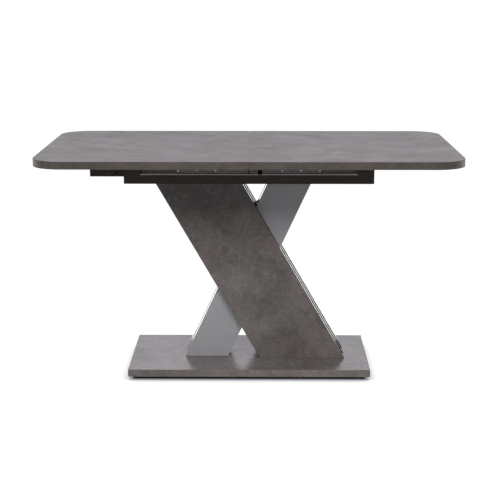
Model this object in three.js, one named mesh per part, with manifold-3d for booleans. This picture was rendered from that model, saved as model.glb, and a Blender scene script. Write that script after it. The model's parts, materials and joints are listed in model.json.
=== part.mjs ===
// Extendable pedestal dining table, in millimetres, +Z up, X along the table's length.
// The origin is on the floor under the middle of the closed top.
import * as THREE from 'three';
import { mergeVertices } from 'three/addons/utils/BufferGeometryUtils.js';
import Module from 'manifold-3d';

const wasm = await Module();
wasm.setup();

// ---- Driving dimensions -------------------------------------------------

const gap = 0.3;                   // between faces that are glued, screwed or laid together

const tableHeight = 754;
const top = { length: 1350, width: 800, thickness: 24, cornerRadius: 100, bandThickness: 1.5 };
const halfTravel = 200;            // how far each half of the top slides out
const leaf = { endClearance: 94, bandThickness: 1.5 };

const base = { length: 800, width: 428, thickness: 24, bandThickness: 1.5 };
const foot = { height: 11.5, inset: 16, width: 40 };

// Each leg's left edge runs from bottomX on the base to topX under the frame.
const stoneLeg = { depth: 152, width: 286, bottomX: 36, topX: -324, trimThickness: 1.6, spacerInset: 5 };
const silverLeg = { depth: 106, width: 145.5, bottomX: -218.5, topX: 72, spacerInset: 1.5 };

const frame = { length: 798, height: 64, clearanceBelowTop: 6 };
const apron = { thickness: 16, stripHeight: 28, endLength: 52.5 };
const tray = { thickness: 16 };
const felt = { thickness: 1.5, width: 24, inset: 30 };
const endBoard = { thickness: 16, clearanceToLeafTop: 2 };

const leafSideClearance = 3;       // leaf edge to rail web
const steel = 2;                   // thickness of the folded rails and runners
const rail = { height: 35, topFlange: 10 };
const runner = {
  length: 229.3, clearance: 2, liftAboveSill: 3, innerHeight: 24, topFlange: 24, seamInset: 2.7,
};
const stopBlock = { length: 12, depth: 14, height: 20, centreX: 35 };

const dowel = { radius: 4, proud: 12, buried: 18, clearance: 0.3, outerY: 315, innerY: 105, chamfer: 1 };

const gear = {
  module: 3, teeth: 16, width: 10, clearance: 1, backlash: 0.7,
  pressureAngle: THREE.MathUtils.degToRad(20),
};
const rackBar = { depth: 12, pastTravel: 30, tail: 180 };
const rackBlock = { length: 145, seamInset: 25, inset: 1 };
const bridge = { width: 60, thickness: 3, clearanceToLeaf: 2, tabHeight: 14 };
const axle = { radius: 6, clearance: 0.4, headRadius: 9, headHeight: 2 };

// ---- Places worked out from the dimensions ------------------------------

const topUnderside = tableHeight - top.thickness;
const frameTop = topUnderside - frame.clearanceBelowTop;
const frameBottom = frameTop - frame.height;
const baseBottom = foot.height + gap;
const baseTop = baseBottom + base.thickness;
const legBottom = baseTop + gap;
const legTop = frameBottom - gap;

const leafWidth = 2 * halfTravel;
const railWebY = leafWidth / 2 + leafSideClearance;
const runnerInnerY = railWebY + steel + runner.clearance;
const runnerWebY = railWebY + rail.topFlange + runner.clearance;
const apronInnerY = runnerWebY + steel + runner.clearance;
const apronOuterY = apronInnerY + apron.thickness;
const notchX = frame.length / 2 - apron.endLength;
const sillBottom = frameBottom + apron.stripHeight + gap;
const sillTop = sillBottom + steel;

const trayTop = frameBottom + tray.thickness;
const feltTop = trayTop + gap + felt.thickness;
const leafBottom = feltTop + gap;
const leafTop = leafBottom + top.thickness;
const leafLength = top.width;
const leafRightX = frame.length / 2 - endBoard.thickness - leaf.endClearance;

const bridgeBottom = leafTop + bridge.clearanceToLeaf;
const bridgeTop = bridgeBottom + bridge.thickness;
const gearBottom = bridgeTop + gear.clearance;
const gearTop = gearBottom + gear.width;
const pitchRadius = gear.module * gear.teeth / 2;
const toothTip = 0.9 * gear.module;
const toothRoot = 1.2 * gear.module;

// ---- Materials ----------------------------------------------------------

function finish(color, roughness, metalness = 0) {
  return new THREE.MeshStandardMaterial({ color, roughness, metalness });
}

const concreteDecor = finish(0x8b8684, 0.55);
const concreteEdge = finish(0x6b635e, 0.55);
const silverPaint = finish(0xa3a2a6, 0.4, 0.5);
const blackPaint = finish(0x2b2624, 0.6);
const aluminiumTrim = finish(0xd6d6d8, 0.3, 0.9);
const railSteel = finish(0x8e8b88, 0.4, 0.9);
const blackPlastic = finish(0x141414, 0.5);
const feltCloth = finish(0x4a4744, 0.95);
const whiteNylon = finish(0xe8e6e0, 0.45);
const beechWood = finish(0xc9a477, 0.6);

// ---- Shape helpers ------------------------------------------------------

const model = new THREE.Group();

function addMesh(parent, name, geometry, material) {
  const mesh = new THREE.Mesh(geometry, material);
  mesh.name = name;
  parent.add(mesh);
  return mesh;
}

// A board or bar with square edges, from its lowest to its highest corner.
function addBox(parent, name, low, high, material) {
  const size = high.map((value, i) => value - low[i]);
  const mesh = addMesh(parent, name, new THREE.BoxGeometry(...size), material);
  mesh.position.set(...low.map((value, i) => value + size[i] / 2));
  return mesh;
}

function outline(points) {
  return new THREE.Shape(points.map(([u, v]) => new THREE.Vector2(u, v)));
}

function extrude(shape, depth, curveSegments = 12) {
  return new THREE.ExtrudeGeometry(shape, { depth, bevelEnabled: false, curveSegments });
}

// An outline drawn in X and Y, lifted from one height to another.
function addSlab(parent, name, shape, zLow, zHigh, material) {
  const mesh = addMesh(parent, name, extrude(shape, zHigh - zLow), material);
  mesh.position.z = zLow;
  return mesh;
}

// An outline drawn in X and Z, running from one Y to another.
function addPanel(parent, name, points, yLow, yHigh, material) {
  const mesh = addMesh(parent, name, extrude(outline(points), yHigh - yLow), material);
  mesh.rotation.x = Math.PI / 2;
  mesh.position.y = yHigh;
  return mesh;
}

// A folded section drawn in Y and Z, running from one X to another.
function addSection(parent, name, points, xLow, xHigh, material) {
  const mesh = addMesh(parent, name, extrude(outline(points), xHigh - xLow), material);
  mesh.rotation.set(Math.PI / 2, 0, Math.PI / 2, 'ZYX');
  mesh.position.x = xLow;
  return mesh;
}

function toSolid(geometry) {
  const bare = geometry.clone();
  bare.deleteAttribute('normal');
  bare.deleteAttribute('uv');
  const merged = mergeVertices(bare, 1e-4);
  return new wasm.Manifold(new wasm.Mesh({
    numProp: 3,
    vertProperties: new Float32Array(merged.attributes.position.array),
    triVerts: new Uint32Array(merged.index.array),
  }));
}

function toGeometry(solid) {
  const mesh = solid.getMesh();
  const geometry = new THREE.BufferGeometry();
  geometry.setAttribute('position', new THREE.BufferAttribute(mesh.vertProperties, 3));
  geometry.setIndex(new THREE.BufferAttribute(mesh.triVerts, 1));
  return geometry;
}

// A round tool lying along X, used to drill a board's edge.
function drill(radius, xLow, xHigh, y, z) {
  const geometry = new THREE.CylinderGeometry(radius, radius, xHigh - xLow, 16);
  geometry.rotateZ(Math.PI / 2);
  geometry.translate((xLow + xHigh) / 2, y, z);
  return toSolid(geometry);
}

// ---- Base board and feet ------------------------------------------------

function rectangleRing(length, width, thickness) {
  const ring = new THREE.Shape();
  ring.moveTo(-length / 2, -width / 2);
  ring.lineTo(length / 2, -width / 2);
  ring.lineTo(length / 2, width / 2);
  ring.lineTo(-length / 2, width / 2);
  ring.closePath();
  const x = length / 2 - thickness;
  const y = width / 2 - thickness;
  ring.holes.push(outline([[-x, -y], [-x, y], [x, y], [x, -y]]));
  return ring;
}

function buildBase(parent) {
  const inset = base.bandThickness + gap;
  const boardX = base.length / 2 - inset;
  const boardY = base.width / 2 - inset;
  addBox(parent, 'base_board', [-boardX, -boardY, baseBottom], [boardX, boardY, baseTop], concreteDecor);
  addSlab(parent, 'base_edge_band', rectangleRing(base.length, base.width, base.bandThickness),
    baseBottom, baseTop, concreteEdge);

  const footX = base.length / 2 - foot.inset;
  const footY = base.width / 2 - foot.inset;
  const innerY = footY - foot.width - gap;
  for (const [name, sign] of [['front', -1], ['rear', 1]]) {
    const y = [sign * footY, sign * (footY - foot.width)].sort((a, b) => a - b);
    addBox(parent, `foot_rail_${name}`, [-footX, y[0], 0], [footX, y[1], foot.height], blackPaint);
  }
  for (const [name, sign] of [['left', -1], ['right', 1]]) {
    const x = [sign * footX, sign * (footX - foot.width)].sort((a, b) => a - b);
    addBox(parent, `foot_rail_${name}`, [x[0], -innerY, 0], [x[1], innerY, foot.height], blackPaint);
  }
}

// ---- Crossed legs -------------------------------------------------------

// The sloping line x = x0 + slope * (z - legBottom), as each leg edge is one.
function edgeX(line, z) {
  return line.x0 + line.slope * (z - legBottom);
}

function crossing(lineA, lineB) {
  const z = legBottom + (lineB.x0 - lineA.x0) / (lineA.slope - lineB.slope);
  return [edgeX(lineA, z), z];
}

function shifted(line, distance) {
  return { x0: line.x0 + distance, slope: line.slope };
}

function leftEdge(leg) {
  return { x0: leg.bottomX, slope: (leg.topX - leg.bottomX) / (legTop - legBottom) };
}

const stoneLeft = leftEdge(stoneLeg);
const stoneRight = shifted(stoneLeft, stoneLeg.width);
const silverLeft = leftEdge(silverLeg);
const silverRight = shifted(silverLeft, silverLeg.width);

// Parallelogram between two parallel edges, over the leg's whole height.
function legOutline(left, right) {
  return [
    [edgeX(left, legBottom), legBottom], [edgeX(right, legBottom), legBottom],
    [edgeX(right, legTop), legTop], [edgeX(left, legTop), legTop],
  ];
}

// Front and rear Y of each layer in a leg of this depth.
function layers(depth, count) {
  const thickness = (depth - (count - 1) * gap) / count;
  return Array.from({ length: count }, (_, i) => {
    const yLow = -depth / 2 + i * (thickness + gap);
    return [yLow, yLow + thickness];
  });
}

function buildStoneLeg(parent) {
  const slabs = layers(stoneLeg.depth, 5);
  const trim = stoneLeg.trimThickness;
  const boardLeft = shifted(stoneLeft, trim + gap);
  const boardRight = shifted(stoneRight, -trim - gap);
  const board = legOutline(boardLeft, boardRight);
  [['front', 0], ['middle', 2], ['rear', 4]].forEach(([name, i]) => {
    addPanel(parent, `stone_leg_${name}_board`, board, ...slabs[i], concreteDecor);
    addPanel(parent, `stone_leg_${name}_trim_left`, legOutline(stoneLeft, shifted(stoneLeft, trim)),
      ...slabs[i], aluminiumTrim);
    addPanel(parent, `stone_leg_${name}_trim_right`, legOutline(shifted(stoneRight, -trim), stoneRight),
      ...slabs[i], aluminiumTrim);
  });
  const inset = stoneLeg.spacerInset;
  const spacer = legOutline(shifted(stoneLeft, inset), shifted(stoneRight, -inset));
  addPanel(parent, 'stone_leg_front_spacer', spacer, ...slabs[1], blackPaint);
  addPanel(parent, 'stone_leg_rear_spacer', spacer, ...slabs[3], blackPaint);
}

// The silver leg is two short pieces that meet the stone leg's sides.
function buildSilverLeg(parent) {
  const slabs = layers(silverLeg.depth, 3);
  const names = ['front_board', 'spacer', 'rear_board'];
  slabs.forEach((slab, i) => {
    const inset = names[i] === 'spacer' ? silverLeg.spacerInset : 0;
    const left = shifted(silverLeft, inset);
    const right = shifted(silverRight, -inset);
    const jointLow = shifted(stoneLeft, -gap);
    const jointHigh = shifted(stoneRight, gap);
    const lower = [
      [edgeX(left, legBottom), legBottom], [edgeX(right, legBottom), legBottom],
      crossing(right, jointLow), crossing(left, jointLow),
    ];
    const upper = [
      crossing(left, jointHigh), crossing(right, jointHigh),
      [edgeX(right, legTop), legTop], [edgeX(left, legTop), legTop],
    ];
    addPanel(parent, `silver_leg_lower_${names[i]}`, lower, ...slab, silverPaint);
    addPanel(parent, `silver_leg_upper_${names[i]}`, upper, ...slab, silverPaint);
  });
}

// ---- Frame under the top ------------------------------------------------

function buildFrame(parent) {
  const endX = frame.length / 2;
  const trayY = apronInnerY - gap;
  addBox(parent, 'tray_board', [-endX, -trayY, frameBottom], [endX, trayY, trayTop], blackPaint);

  const stripTop = frameBottom + apron.stripHeight;
  const apronOutline = [
    [-endX, frameBottom], [endX, frameBottom], [endX, frameTop], [notchX, frameTop],
    [notchX, stripTop], [-notchX, stripTop], [-notchX, frameTop], [-endX, frameTop],
  ];
  addPanel(parent, 'apron_front', apronOutline, -apronOuterY, -apronInnerY, blackPaint);
  addPanel(parent, 'apron_rear', apronOutline, apronInnerY, apronOuterY, blackPaint);

  const endTop = leafTop + endBoard.clearanceToLeafTop;
  const endY = leafWidth / 2;
  addBox(parent, 'end_board',
    [endX - endBoard.thickness, -endY, trayTop + gap], [endX, endY, endTop], blackPaint);

  const feltY = leafWidth / 2 - felt.inset;
  for (const [name, sign] of [['front', -1], ['rear', 1]]) {
    const y = [sign * feltY, sign * (feltY - felt.width)].sort((a, b) => a - b);
    addBox(parent, `leaf_felt_${name}`, [-endX + gap, y[0], trayTop + gap],
      [endX - endBoard.thickness - gap, y[1], feltTop], feltCloth);
  }
}

// Rail section: a sill on the apron, a web beside the leaf and a flange turned outwards at the top.
function railSection(sign) {
  const railTop = sillBottom + rail.height;
  const sillOuterY = apronOuterY - gap;
  return [
    [railWebY, sillBottom], [sillOuterY, sillBottom], [sillOuterY, sillTop], [railWebY + steel, sillTop],
    [railWebY + steel, railTop - steel], [railWebY + rail.topFlange, railTop - steel],
    [railWebY + rail.topFlange, railTop], [railWebY, railTop],
  ].map(([y, z]) => [sign * y, z]);
}

// Runner section: it hooks up into the rail, passes outside its flange and carries the top.
function runnerSection(sign) {
  const armBottom = sillTop + runner.liftAboveSill;
  const innerTop = armBottom + runner.innerHeight;
  const seat = topUnderside - gap;
  return [
    [runnerInnerY, armBottom], [runnerWebY + steel, armBottom], [runnerWebY + steel, seat - steel],
    [runnerWebY + steel + runner.topFlange, seat - steel], [runnerWebY + steel + runner.topFlange, seat],
    [runnerWebY, seat], [runnerWebY, armBottom + steel], [runnerInnerY + steel, armBottom + steel],
    [runnerInnerY + steel, innerTop], [runnerInnerY, innerTop],
  ].map(([y, z]) => [sign * y, z]);
}

function buildRails(parent) {
  const railX = notchX - gap;
  for (const [name, sign] of [['front', -1], ['rear', 1]]) {
    addSection(parent, `rail_${name}`, railSection(sign), -railX, railX, railSteel);

    const x = -sign * stopBlock.centreX;
    const y = [sign * apronInnerY, sign * (apronInnerY + stopBlock.depth)].sort((a, b) => a - b);
    addBox(parent, `rail_stop_${name}`, [x - stopBlock.length / 2, y[0], sillTop + gap],
      [x + stopBlock.length / 2, y[1], sillTop + gap + stopBlock.height], blackPlastic);
  }
}

// ---- Two halves of the top ----------------------------------------------

// Outline of the left half, inset from the finished size; its seam edge is at seamX.
function halfOutline(inset, seamX) {
  const x = top.length / 2 - inset;
  const y = top.width / 2 - inset;
  const radius = top.cornerRadius - inset;
  const shape = new THREE.Shape();
  shape.moveTo(seamX, -y);
  shape.lineTo(seamX, y);
  shape.lineTo(-x + radius, y);
  shape.absarc(-x + radius, y - radius, radius, Math.PI / 2, Math.PI, false);
  shape.lineTo(-x, -y + radius);
  shape.absarc(-x + radius, -y + radius, radius, Math.PI, 1.5 * Math.PI, false);
  shape.closePath();
  return shape;
}

// A half's outline as points, from the seam's rear end round to its front end.
function outerEdges(inset, seamX) {
  const [frontSeam, ...others] = halfOutline(inset, seamX).getPoints(12).slice(0, -1);
  return [...others, frontSeam];
}

// The strip round the three outer edges of a half.
function bandOutline(seamX) {
  return new THREE.Shape([...outerEdges(0, seamX), ...outerEdges(top.bandThickness, seamX).reverse()]);
}

function drilledBoard(seamX) {
  const board = extrude(halfOutline(top.bandThickness + gap, seamX), top.thickness);
  const depth = dowel.buried + gap;
  const holes = [-dowel.outerY, -dowel.innerY, dowel.innerY, dowel.outerY].map((y) =>
    drill(dowel.radius + dowel.clearance, seamX - depth, seamX + 1, y, top.thickness / 2));
  return toGeometry(holes.reduce((solid, hole) => solid.subtract(hole), toSolid(board)));
}

function dowelGeometry() {
  const { radius, chamfer } = dowel;
  const length = dowel.proud + dowel.buried;
  const profile = [
    [0, 0], [radius - chamfer, 0], [radius, chamfer], [radius, length - chamfer],
    [radius - chamfer, length], [0, length],
  ];
  const geometry = new THREE.LatheGeometry(profile.map(([r, h]) => new THREE.Vector2(r, h)), 16);
  geometry.rotateZ(-Math.PI / 2);
  return toGeometry(toSolid(geometry));
}

// One tooth space is centred on X = 0, where the pinion's tooth sits.
function rackOutline() {
  const pitch = Math.PI * gear.module;
  const tan = Math.tan(gear.pressureAngle);
  const tipY = pitchRadius - toothTip;
  const rootY = pitchRadius + toothRoot;
  const halfTooth = pitch / 4 - gear.backlash / 2;
  const halfTip = halfTooth - (pitchRadius - tipY) * tan;
  const halfRoot = halfTooth + (rootY - pitchRadius) * tan;
  const reach = halfTravel + rackBar.pastTravel;
  const first = -2;
  const last = Math.floor((reach - pitch) / pitch);
  const points = [[-rackBar.tail, rootY]];
  for (let i = first; i <= last; i += 1) {
    const x = (i + 0.5) * pitch;
    points.push([x - halfRoot, rootY], [x - halfTip, tipY], [x + halfTip, tipY], [x + halfRoot, rootY]);
  }
  points.push([reach, rootY], [reach, rootY + rackBar.depth], [-rackBar.tail, rootY + rackBar.depth]);
  return outline(points);
}

// The left half as drawn; the right half is the same, turned half a turn about Z.
function buildHalf(parent, side, dowelY) {
  const half = new THREE.Group();
  half.rotation.z = side === 'right' ? Math.PI : 0;
  parent.add(half);

  const seamX = -gap;
  const board = addMesh(half, `top_board_${side}`, drilledBoard(seamX), concreteDecor);
  board.position.z = topUnderside;
  addSlab(half, `top_edge_band_${side}`, bandOutline(seamX), topUnderside, tableHeight, concreteEdge);

  for (const [name, sign] of [['a', -1], ['b', 1]]) {
    const pin = addMesh(half, `top_dowel_${side}_${name}`, dowelGeometry(), beechWood);
    pin.position.set(seamX - dowel.buried, sign * dowelY, topUnderside + top.thickness / 2);
  }

  // The half turn swaps front and rear on the right side.
  const near = side === 'left' ? 'front' : 'rear';
  const far = side === 'left' ? 'rear' : 'front';
  for (const [name, sign] of [[near, -1], [far, 1]]) {
    addSection(half, `runner_${side}_${name}`, runnerSection(sign),
      -runner.seamInset - runner.length, -runner.seamInset, railSteel);
  }

  addSlab(half, `rack_${side}`, rackOutline(), gearBottom, gearTop, whiteNylon);
  const rackFrontY = pitchRadius + toothRoot;
  addBox(half, `rack_block_${side}`,
    [-rackBlock.seamInset - rackBlock.length, rackFrontY + rackBlock.inset, gearTop + gap],
    [-rackBlock.seamInset, rackFrontY + rackBar.depth - rackBlock.inset, topUnderside - gap], blackPaint);
}

// ---- Synchroniser between the halves ------------------------------------

function involute(angle) {
  return Math.tan(angle) - angle;
}

// Half the angle that a tooth covers at this radius.
function halfToothAngle(radius) {
  const baseRadius = pitchRadius * Math.cos(gear.pressureAngle);
  const pressure = Math.acos(Math.min(1, baseRadius / radius));
  const atPitch = Math.PI / (2 * gear.teeth) - gear.backlash / (2 * pitchRadius);
  return atPitch + involute(gear.pressureAngle) - involute(pressure);
}

function pinionOutline() {
  const rootRadius = pitchRadius - toothRoot;
  const tipRadius = pitchRadius + toothTip;
  const baseRadius = pitchRadius * Math.cos(gear.pressureAngle);
  const radii = [rootRadius, baseRadius, pitchRadius, (pitchRadius + tipRadius) / 2, tipRadius];
  const points = [];
  for (let tooth = 0; tooth < gear.teeth; tooth += 1) {
    const middle = Math.PI / 2 + tooth * 2 * Math.PI / gear.teeth;
    const rising = radii.map((radius) => [radius, middle - halfToothAngle(radius)]);
    const falling = radii.map((radius) => [radius, middle + halfToothAngle(radius)]).reverse();
    for (const [radius, angle] of [...rising, ...falling]) {
      points.push([radius * Math.cos(angle), radius * Math.sin(angle)]);
    }
  }
  const shape = outline(points);
  const bore = new THREE.Path();
  bore.absarc(0, 0, axle.radius + axle.clearance, 0, 2 * Math.PI, true);
  shape.holes.push(bore);
  return shape;
}

function buildSynchroniser(parent) {
  const endY = railWebY - gap;
  const tabInnerY = endY - bridge.thickness;
  const tabTop = bridgeTop + bridge.tabHeight;
  addSection(parent, 'sync_bridge', [
    [-endY, bridgeBottom], [endY, bridgeBottom], [endY, tabTop], [tabInnerY, tabTop],
    [tabInnerY, bridgeTop], [-tabInnerY, bridgeTop], [-tabInnerY, tabTop], [-endY, tabTop],
  ], -bridge.width / 2, bridge.width / 2, railSteel);

  addSlab(parent, 'sync_pinion', pinionOutline(), gearBottom, gearTop, whiteNylon);

  const headBottom = gearTop + gear.clearance;
  const profile = [
    [0, bridgeTop + gap], [axle.radius, bridgeTop + gap], [axle.radius, headBottom],
    [axle.headRadius, headBottom], [axle.headRadius, headBottom + axle.headHeight],
    [0, headBottom + axle.headHeight],
  ];
  const lathe = new THREE.LatheGeometry(profile.map(([r, h]) => new THREE.Vector2(r, h)), 20);
  lathe.rotateX(Math.PI / 2);
  addMesh(parent, 'pinion_axle', toGeometry(toSolid(lathe)), railSteel);
}

// ---- Spare leaf stored in the frame -------------------------------------

function buildLeaf(parent) {
  const edge = leaf.bandThickness + gap;
  const middleX = leafRightX - leafLength / 2;
  const sideY = leafWidth / 2;
  const boardX = leafLength / 2 - edge;
  const board = new THREE.BoxGeometry(2 * boardX, leafWidth, top.thickness);
  const depth = dowel.buried + gap;
  const radius = dowel.radius + dowel.clearance;
  const rows = [[-1, dowel.outerY], [1, dowel.innerY]];
  const holes = rows.flatMap(([side, along]) => [-along, along].map((x) => {
    const tool = new THREE.CylinderGeometry(radius, radius, depth + 1, 16);
    tool.translate(x, side * (sideY - depth / 2 + 0.5), 0);
    return toSolid(tool);
  }));
  const solid = holes.reduce((result, hole) => result.subtract(hole), toSolid(board));
  const mesh = addMesh(parent, 'leaf_board', toGeometry(solid), concreteDecor);
  mesh.position.set(middleX, 0, leafBottom + top.thickness / 2);

  for (const [name, sign] of [['left', -1], ['right', 1]]) {
    const outer = sign * leafLength / 2;
    const x = [middleX + outer, middleX + outer - sign * leaf.bandThickness].sort((a, b) => a - b);
    addBox(parent, `leaf_edge_band_${name}`,
      [x[0], -sideY, leafBottom], [x[1], sideY, leafTop], concreteEdge);
  }
}

// ---- Assembly -----------------------------------------------------------

buildBase(model);
buildStoneLeg(model);
buildSilverLeg(model);
buildFrame(model);
buildRails(model);
buildSynchroniser(model);
buildLeaf(model);
buildHalf(model, 'left', dowel.outerY);
buildHalf(model, 'right', dowel.innerY);

export default model;
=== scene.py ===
import json
import math
import bmesh
import bpy
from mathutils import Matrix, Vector


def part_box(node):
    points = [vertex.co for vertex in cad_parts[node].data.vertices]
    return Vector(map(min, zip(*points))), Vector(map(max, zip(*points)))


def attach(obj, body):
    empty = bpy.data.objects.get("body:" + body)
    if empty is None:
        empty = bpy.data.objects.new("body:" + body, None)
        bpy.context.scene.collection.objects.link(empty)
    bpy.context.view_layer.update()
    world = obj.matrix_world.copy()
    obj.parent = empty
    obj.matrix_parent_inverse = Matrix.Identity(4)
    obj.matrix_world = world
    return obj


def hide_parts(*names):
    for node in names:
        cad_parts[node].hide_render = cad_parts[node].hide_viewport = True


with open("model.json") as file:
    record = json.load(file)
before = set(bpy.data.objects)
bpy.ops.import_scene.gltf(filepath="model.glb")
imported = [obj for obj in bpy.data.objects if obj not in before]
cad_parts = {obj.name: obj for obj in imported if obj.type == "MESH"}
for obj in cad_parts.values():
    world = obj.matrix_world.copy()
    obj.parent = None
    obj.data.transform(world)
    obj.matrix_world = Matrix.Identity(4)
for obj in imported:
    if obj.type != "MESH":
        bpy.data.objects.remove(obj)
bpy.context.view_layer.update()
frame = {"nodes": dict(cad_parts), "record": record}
nodes = frame["nodes"]
mm = 0.001
print("frame loaded:", len(nodes), "nodes")

# Camera, floor and light. Sizes and places are in metres, powers in watts.
studio = {
    "cameraPlace": (0.0355, -4.390, 1.3259), "pitchDown": 11.969, "turn": 0.443, "lens": 94.97, "sensor": 36,
    "backdrop": 1.05,                           # what the camera sees behind the table
    # strength of the light round the table, by the sine of its height above the horizon
    "rearGlow": ((0.0, 0.0), (0.10, 0.05), (0.30, 2.00), (0.60, 0.08), (1.0, 0.04)),
    "frontGlow": ((0.0, 0.02), (0.02, 0.50), (0.12, 0.50), (0.20, 0.02)),
    "rearTint": (0.965, 0.94, 1.015), "frontTint": (1.0, 1.0, 1.0), "glowChange": (-0.2, 0.2),
    "floorSize": 40.0, "floorBounce": 0.43, "floorRoughness": 0.9,
    "frontLift": 0.01, "rearLift": 1.5, "liftChange": (-0.1, 0.7),
    "shadowReach": 0.15, "shadowSamples": 32, "shadowDark": (0.22, 0.21, 0.25), "shadowOpen": (0.22, 0.84),
    "aim": (0, 0, 0.5),
    "keyPower": 196, "keySize": (4.4, 2.0), "keyPlace": (0.0, -3.75, 3.6),
    "topPower": 2, "topSize": (3.0, 1.6), "topPlace": (0.0, 0.2, 3.0),
    "rearPower": 2, "rearSize": (4.0, 2.0), "rearPlace": (0.0, 3.9, 3.3),
    "leftPower": 5, "leftSize": (2.4, 1.6), "leftPlace": (-3.4, -0.6, 1.5),
    "rightPower": 14, "rightSize": (2.4, 1.6), "rightPlace": (3.4, -0.6, 1.5),
}


def addAreaLight(name):
    data = bpy.data.lights.new(name, "AREA")
    data.shape = "RECTANGLE"
    data.size, data.size_y = studio[name + "Size"]
    data.energy = studio[name + "Power"]
    lamp = bpy.data.objects.new(name, data)
    place = Vector(studio[name + "Place"])
    lamp.location = place
    lamp.rotation_euler = (Vector(studio["aim"]) - place).to_track_quat("-Z", "Y").to_euler()
    bpy.context.scene.collection.objects.link(lamp)


def makeStudio():
    scene = bpy.context.scene
    scene.view_settings.view_transform = "Standard"

    camera = bpy.data.objects.new("camera", bpy.data.cameras.new("camera"))
    camera.data.lens = studio["lens"]
    camera.data.sensor_width = studio["sensor"]
    camera.location = studio["cameraPlace"]
    camera.rotation_euler = (math.radians(90 - studio["pitchDown"]), 0, math.radians(studio["turn"]))
    scene.collection.objects.link(camera)
    scene.camera = camera

    makeBackdrop(scene)
    makeFloor(scene)
    for name in ("key", "top", "rear", "left", "right"):
        addAreaLight(name)


# White where the camera looks. What lights the table is a band of soft light low behind it and a faint one
# low in front.
def makeBackdrop(scene):
    world = bpy.data.worlds.new("studioWorld")
    world.use_nodes = True
    scene.world = world
    tree = world.node_tree
    seen = tree.nodes["Background"]
    seen.inputs["Color"].default_value = (1, 1, 1, 1)
    seen.inputs["Strength"].default_value = studio["backdrop"]
    direction = addNode(tree, "ShaderNodeTexCoord").outputs["Generated"]
    parts = addNode(tree, "ShaderNodeSeparateXYZ", {"Vector": direction}).outputs
    glows = []
    for side in ("front", "rear"):
        ramp = addNode(tree, "ShaderNodeValToRGB", {"Fac": parts["Z"]})
        stops = ramp.color_ramp.elements
        while len(stops) < len(studio[side + "Glow"]):
            stops.new(0.5)
        for stop, (rise, glow) in zip(stops, studio[side + "Glow"]):
            stop.position = rise
            stop.color = (*[glow * part for part in studio[side + "Tint"]], 1)
        glows.append(ramp.outputs["Color"])
    glow = addMix(tree, addRange(tree, parts["Y"], *studio["glowChange"]), *glows)
    cast = addNode(tree, "ShaderNodeBackground", {"Color": glow})
    mixSeen(tree, cast.outputs["Background"], seen.outputs["Background"], tree.nodes["World Output"])


# What the camera sees is the second shader; every other ray meets the first.
def mixSeen(tree, other, seen, output):
    path = addNode(tree, "ShaderNodeLightPath")
    mix = addNode(tree, "ShaderNodeMixShader", {0: path.outputs["Is Camera Ray"], 1: other, 2: seen})
    tree.links.new(mix.outputs["Shader"], output.inputs["Surface"])


# White paper with a soft contact shadow where the foot stands; other rays see it as a matt bright floor.
def makeFloor(scene):
    half = studio["floorSize"] / 2
    corners = [(-half, -half, 0), (half, -half, 0), (half, half, 0), (-half, half, 0)]
    mesh = bpy.data.meshes.new("floor")
    mesh.from_pydata(corners, [], [(0, 1, 2, 3)])
    floor = bpy.data.objects.new("floor", mesh)
    scene.collection.objects.link(floor)
    paper = bpy.data.materials.new("studioPaper")
    paper.use_nodes = True
    tree = paper.node_tree
    shader = tree.nodes["Principled BSDF"]
    shader.inputs["Base Color"].default_value = (*[studio["floorBounce"]] * 3, 1)
    shader.inputs["Roughness"].default_value = studio["floorRoughness"]
    shader.inputs["Specular IOR Level"].default_value = 0
    shader.inputs["Emission Color"].default_value = (1, 1, 1, 1)
    place = addNode(tree, "ShaderNodeTexCoord").outputs["Object"]
    depth = addNode(tree, "ShaderNodeSeparateXYZ", {"Vector": place}).outputs["Y"]
    lift = addRange(tree, depth, *studio["liftChange"], studio["frontLift"], studio["rearLift"])
    tree.links.new(lift, shader.inputs["Emission Strength"])
    openness = addNode(tree, "ShaderNodeAmbientOcclusion", {"Distance": studio["shadowReach"]},
                       samples=studio["shadowSamples"])
    lit = addRange(tree, openness.outputs["AO"], *studio["shadowOpen"])
    tone = addMix(tree, lit, (*studio["shadowDark"], 1), (*[studio["backdrop"]] * 3, 1))
    seen = addNode(tree, "ShaderNodeEmission", {"Color": tone})
    mixSeen(tree, shader.outputs["BSDF"], seen.outputs["Emission"], tree.nodes["Material Output"])
    mesh.materials.append(paper)


# Short ways to add the nodes used most. An input may be a value or another node's output.
def addNode(tree, kind, inputs=None, **settings):
    node = tree.nodes.new(kind)
    for key, value in settings.items():
        setattr(node, key, value)
    for key, value in (inputs or {}).items():
        if isinstance(value, bpy.types.NodeSocket):
            tree.links.new(value, node.inputs[key])
        else:
            node.inputs[key].default_value = value
    return node


def addMath(tree, operation, first, second=0.5):
    return addNode(tree, "ShaderNodeMath", {0: first, 1: second}, operation=operation).outputs[0]


def addRange(tree, value, low, high, outLow=0.0, outHigh=1.0):
    inputs = {"Value": value, "From Min": low, "From Max": high, "To Min": outLow, "To Max": outHigh}
    return addNode(tree, "ShaderNodeMapRange", inputs, clamp=True).outputs["Result"]


def addNoise(tree, vector, scale, detail=4.0, roughness=0.55, distortion=0.0):
    inputs = {"Vector": vector, "Scale": scale, "Detail": detail, "Roughness": roughness,
              "Distortion": distortion}
    return addNode(tree, "ShaderNodeTexNoise", inputs).outputs["Fac"]


def addMapping(tree, vector, turn=(0, 0, 0), stretch=(1, 1, 1), shift=(0, 0, 0)):
    inputs = {"Vector": vector, "Rotation": turn, "Scale": stretch, "Location": shift}
    return addNode(tree, "ShaderNodeMapping", inputs).outputs["Vector"]


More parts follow.
